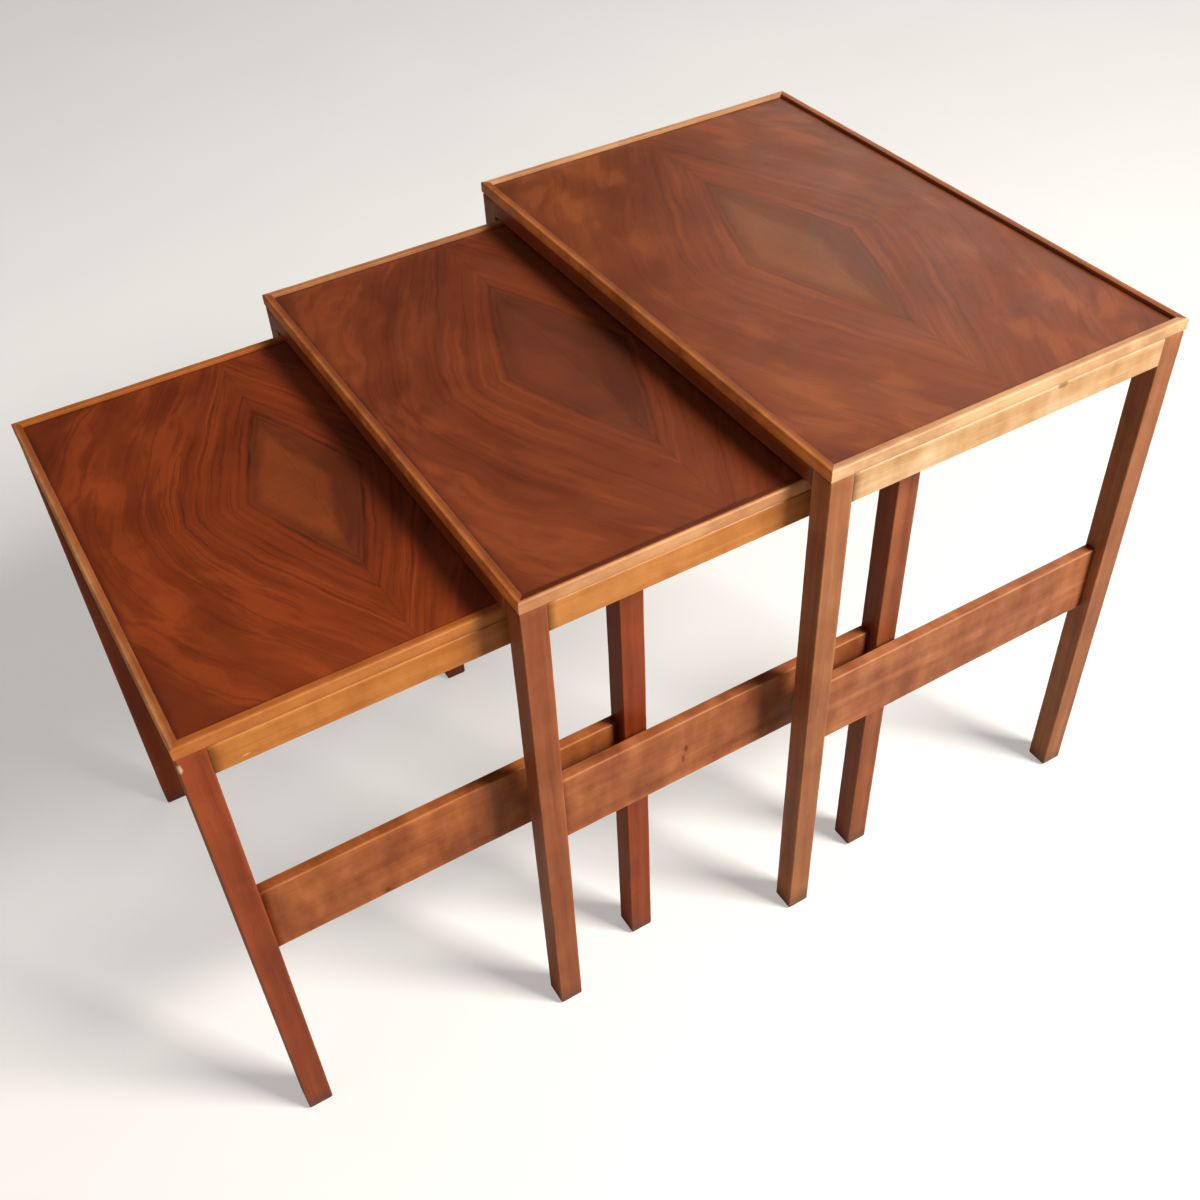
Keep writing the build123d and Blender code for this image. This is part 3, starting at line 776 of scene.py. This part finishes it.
SMUDGE = ((249.5, 263.7, 488.2), (3, 6, 3), paint(140, 96, 62))
PALE_SCUFF = ((195.5, -345, 420.5), (3, 3, 0.8), paint(236, 172, 130))
rail_wood = worn_wood(
    "side_rail", "Y", dark=paint(180, 130, 82), middle=paint(212, 168, 120), light=paint(234, 200, 158),
    worn=paint(244, 216, 178), table_shade=paint(223, 172, 108), curl=0.65, marks=[SMUDGE, PALE_SCUFF])
front_wood = worn_wood(
    "front_rail", "X", dark=paint(104, 46, 18), middle=paint(140, 66, 28), light=paint(168, 88, 40),
    worn=paint(184, 104, 54), table_shade=paint(250, 232, 216))
back_wood = worn_wood(
    "back_rail", "X", dark=paint(126, 74, 44), middle=paint(166, 106, 66), light=paint(190, 132, 88),
    worn=paint(206, 150, 104), table_shade=paint(226, 180, 142))
HEAD_HEIGHT, HEADS_APART = 2 * MM, 10 * MM


def screw_heads(size):
    """Where a table's screw heads are: the lowest points of the CAD node, one group each."""
    places = points_of(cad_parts[f"{size}_top_screws"].data)
    heads = []
    for place in places[places[:, 2] < places[:, 2].min() + HEAD_HEIGHT]:
        near = [head for head in heads if np.linalg.norm(head[0][:2] - place[:2]) < HEADS_APART]
        if near:
            near[0].append(place)
        else:
            heads.append([place])
    return [(np.min(head, axis=0) + np.max(head, axis=0)) / 2 for head in heads]


screw_places = {size: screw_heads(size) for size in TABLES}
HEAD_BORE, BORE_DEPTH, RAIL_ARRIS, RAIL_WEAR = 3.4 * MM, 6 * MM, 0.5 * MM, 0.2 * MM


def bore(piece, size, low, high):
    """Counterbores the underside of a board for the screws that go up through it."""
    cutters = []
    for place in screw_places[size]:
        if low.x < place[0] < high.x and low.y < place[1] < high.y:
            bpy.ops.mesh.primitive_cylinder_add(
                vertices=32, radius=HEAD_BORE, depth=2 * BORE_DEPTH, location=(place[0], place[1], low.z))
            cutters.append(bpy.context.object)
    for cutter in cutters:
        modifier = piece.modifiers.new("bore", "BOOLEAN")
        modifier.operation = "DIFFERENCE"
        modifier.solver = "EXACT"
        modifier.object = cutter
    bpy.context.view_layer.update()
    mesh = bpy.data.meshes.new_from_object(piece.evaluated_get(bpy.context.evaluated_depsgraph_get()))
    piece.modifiers.clear()
    piece.data = mesh
    for cutter in cutters:
        bpy.data.objects.remove(cutter)


for table, size in enumerate(TABLES):
    leg_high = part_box(f"{size}_leg_front_left")[1]
    back_leg_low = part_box(f"{size}_leg_back_right")[0]
    # The section's first axis is Z and its second X: corner 1 is top left, corner 2 top right.
    for corner, side_name in ((1, "left"), (2, "right")):
        node = f"{size}_side_rail_{side_name}"
        low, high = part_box(node)
        low.y, high.y = leg_high.y, back_leg_low.y
        rail = planed_board(f"{size}_{side_name}_side_rail", low, high, "Y", RAIL_ARRIS,
                            chamfers={corner: TOP_CHAMFER}, wear=RAIL_WEAR,
                            table_shade=min(1.0, 1.9 * TABLE_SHADE[size]), seed=31 + 2 * table + corner)
        rail.data.materials.append(rail_wood)
        bore(rail, size, low, high)
        hand_over(rail, node)
    for kind, piece_name, wood, first_seed in (("front_rail", "front_rail_board", front_wood, 41),
                                               ("back_rail", "rear_rail", back_wood, 51)):
        node = f"{size}_{kind}"
        low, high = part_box(node)
        low.x, high.x = leg_high.x, -leg_high.x
        rail = planed_board(f"{size}_{piece_name}", low, high, "X", RAIL_ARRIS, wear=RAIL_WEAR,
                            table_shade=TABLE_SHADE[size], seed=first_seed + table)
        rail.data.materials.append(wood)
        if kind == "back_rail":
            bore(rail, size, low, high)
        hand_over(rail, node)


# ---- Stretchers -------------------------------------------------------------------------
# Wide thin boards on edge, tenoned between the front and back legs halfway down. The wood is
# curly, so they are mottled with soft lights that lie across the grain.

KNOT = ((213.5, -32.6, 245), (3, 2.2, 5), paint(92, 48, 28))
KNOT_TAIL = ((213.5, -35, 234), (3, 1.8, 5), paint(110, 58, 34))
DARK_SPOT = ((186.5, -278, 214.5), (3, 2.5, 2.5), paint(88, 46, 26))
STRETCHER_ARRIS = 0.8 * MM
stretcher_wood = worn_wood(
    "stretcher", "Y", dark=paint(132, 70, 40), middle=paint(164, 96, 58), light=paint(190, 122, 78),
    worn=paint(206, 142, 94), table_shade=paint(255, 240, 204), curl=1.0, marks=[KNOT, KNOT_TAIL, DARK_SPOT])
for table, size in enumerate(TABLES):
    front_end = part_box(f"{size}_leg_front_left")[1].y
    back_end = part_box(f"{size}_leg_back_left")[0].y
    for number, side_name in enumerate(("left", "right")):
        node = f"{size}_stretcher_{side_name}"
        low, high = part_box(node)
        low.y, high.y = front_end, back_end
        board = planed_board(f"{size}_{side_name}_stretcher", low, high, "Y", STRETCHER_ARRIS,
                             table_shade=TABLE_SHADE[size], seed=61 + 2 * table + number)
        board.data.materials.append(stretcher_wood)
        hand_over(board, node)


# ---- Screws -----------------------------------------------------------------------------
# Steel wood screws with slotted cheese heads, sunk into the undersides of the rails. Each was
# driven by hand, so no two slots line up.

steel, tree, shader = new_material("screw")
spots = grain_noise(tree, place_of(tree), (700, 700, 700))
steel_colour = colour_ramp(tree, spots, [(0.35, paint(92, 84, 76)), (0.6, paint(168, 164, 156))])
feed(tree, shader, steel_colour, fade(tree, spots, 0.3, 0.7, 0.55, 0.32), spots, relief=0.03 * MM)
shader.inputs["Metallic"].default_value = 1.0

screws, asked = geometry_tree("driven_screws", (
    ("Head Radius", 3 * MM), ("Head Height", HEAD_HEIGHT), ("Shank Radius", 1.75 * MM),
    ("Shank Length", 23 * MM), ("Slot Width", 1 * MM), ("Slot Depth", 1 * MM)))
HEAD_SIDES, SHANK_SIDES = 28, 16
TURN_SEED = 5


def upright(radius, depth, middle, sides):
    """A round bar on the screw's axis, centred at that height."""
    bar = put(screws, "GeometryNodeMeshCylinder", {"Vertices": sides, "Radius": radius, "Depth": depth})
    return put(screws, "GeometryNodeTransform", {
        "Geometry": bar.outputs["Mesh"], "Translation": join(screws, z=middle)}).outputs[0]


head_middle = times(screws, asked["Head Height"], 0.5)
head = upright(asked["Head Radius"], asked["Head Height"], head_middle, HEAD_SIDES)
slot_size = join(screws, times(screws, asked["Head Radius"], 3.0), asked["Slot Width"],
                 times(screws, asked["Slot Depth"], 2.0))
slot = put(screws, "GeometryNodeMeshCube", {"Size": slot_size}).outputs["Mesh"]
head = put(screws, "GeometryNodeMeshBoolean", {0: head, 1: slot}, operation="DIFFERENCE").outputs["Mesh"]
shank_middle = calc(screws, "MULTIPLY_ADD", asked["Shank Length"], 0.5, asked["Head Height"])
shank = upright(asked["Shank Radius"], asked["Shank Length"], shank_middle, SHANK_SIDES)
whole = put(screws, "GeometryNodeJoinGeometry", {0: head})
screws.links.new(shank, whole.inputs[0])
# The node's number sockets come after its vector ones.
driven = put(screws, "FunctionNodeRandomValue", {2: 0.0, 3: 2 * math.pi, "Seed": TURN_SEED},
             data_type="FLOAT")
stood_at = put(screws, "GeometryNodeMeshToPoints", {"Mesh": asked["Geometry"]}).outputs[0]
placed = put(screws, "GeometryNodeInstanceOnPoints", {
    "Points": stood_at, "Instance": whole.outputs[0], "Rotation": join(screws, z=driven.outputs[1])})
end_tree(screws, asked, placed.outputs[0])

for size in TABLES:
    low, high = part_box(f"{size}_top_screws")
    standing = bpy.data.meshes.new(f"{size}_screw_places")
    standing.from_pydata([(place[0], place[1], low.z) for place in screw_places[size]], [], [])
    piece = grow(f"{size}_screws", screws, {
        "Shank Length": high.z - low.z - HEAD_HEIGHT, "Finish": steel}, standing)
    hand_over(piece, f"{size}_top_screws")


# ---- Studio -----------------------------------------------------------------------------
# A pale seamless floor, a large soft window light from the right and behind, and a dim room.
# The camera sees the floor and the room paler than they light the tables.

floor_paint, tree, shader = new_material("floor_paint")
seen = put(tree, "ShaderNodeLightPath").outputs["Is Camera Ray"]
speck = grain_noise(tree, place_of(tree), (3, 3, 3), 4.0)
painted = colour_ramp(tree, speck, [(0.3, paint(212, 211, 209)), (0.7, paint(217, 216, 214))])
tree.links.new(tint(tree, seen, paint(192, 184, 174), painted), shader.inputs["Base Color"])
tree.links.new(times(tree, seen, 0.36), shader.inputs["Emission Strength"])
shader.inputs["Roughness"].default_value = 0.85
shader.inputs["Specular IOR Level"].default_value = 0.1
shader.inputs["Emission Color"].default_value = (1.0, 0.99, 0.97, 1.0)
FLOOR_REACH = 9.0
floor_corners = [(x * FLOOR_REACH, y * FLOOR_REACH, 0) for x, y in ((-1, -1), (1, -1), (1, 1), (-1, 1))]
floor_mesh = bpy.data.meshes.new("floor")
floor_mesh.from_pydata(floor_corners, [], [(0, 1, 2, 3)])
floor_mesh.materials.append(floor_paint)
floor = bpy.data.objects.new("floor", floor_mesh)
bpy.context.scene.collection.objects.link(floor)

DIM, EXTRA_FOR_CAMERA = 0.06, 0.64
room = bpy.data.worlds.new("room")
room.use_nodes = True
walls = room.node_tree
wall_light = walls.nodes["Background"]
wall_light.inputs["Color"].default_value = (1.0, 0.97, 0.93, 1.0)
wall_seen = put(walls, "ShaderNodeLightPath").outputs["Is Camera Ray"]
wall_strength = calc(walls, "MULTIPLY_ADD", wall_seen, EXTRA_FOR_CAMERA, DIM)
walls.links.new(wall_strength, wall_light.inputs["Strength"])
bpy.context.scene.world = room
NEST_MIDDLE = Vector((0, 0, 0.35))


def soft_light(name, azimuth, elevation, distance, side, power, colour):
    """A square light aimed at the nest; azimuth is from +X towards +Y."""
    lamp = bpy.data.lights.new(name, "AREA")
    lamp.size = side
    lamp.energy = power
    lamp.color = colour
    light = bpy.data.objects.new(name, lamp)
    turn, rise = math.radians(azimuth), math.radians(elevation)
    away = Vector((math.cos(turn) * math.cos(rise), math.sin(turn) * math.cos(rise), math.sin(rise)))
    light.location = NEST_MIDDLE + away * distance
    light.rotation_euler = away.to_track_quat("Z", "Y").to_euler()
    bpy.context.scene.collection.objects.link(light)


soft_light("window", 36, 40, distance=3.2, side=1.0, power=150, colour=(1.0, 0.96, 0.90))
soft_light("far_window", 128, 26, distance=3.4, side=1.5, power=9, colour=(1.0, 0.95, 0.88))
soft_light("room_fill", -70, 20, distance=3.4, side=2.6, power=14, colour=(1.0, 0.82, 0.68))
soft_light("ceiling_fill", -110, 64, distance=3.0, side=2.4, power=7, colour=(1.0, 0.86, 0.74))

camera_data = bpy.data.cameras.new("camera")
camera_data.lens = 40.82
camera_data.sensor_width = 36.0
camera = bpy.data.objects.new("camera", camera_data)
camera.location = (0.7842, -0.4162, 1.0542)
camera.rotation_euler = [math.radians(angle) for angle in (46.60, 2.21, 59.04)]
bpy.context.scene.collection.objects.link(camera)
bpy.context.scene.camera = camera
bpy.context.scene.view_settings.view_transform = "Standard"
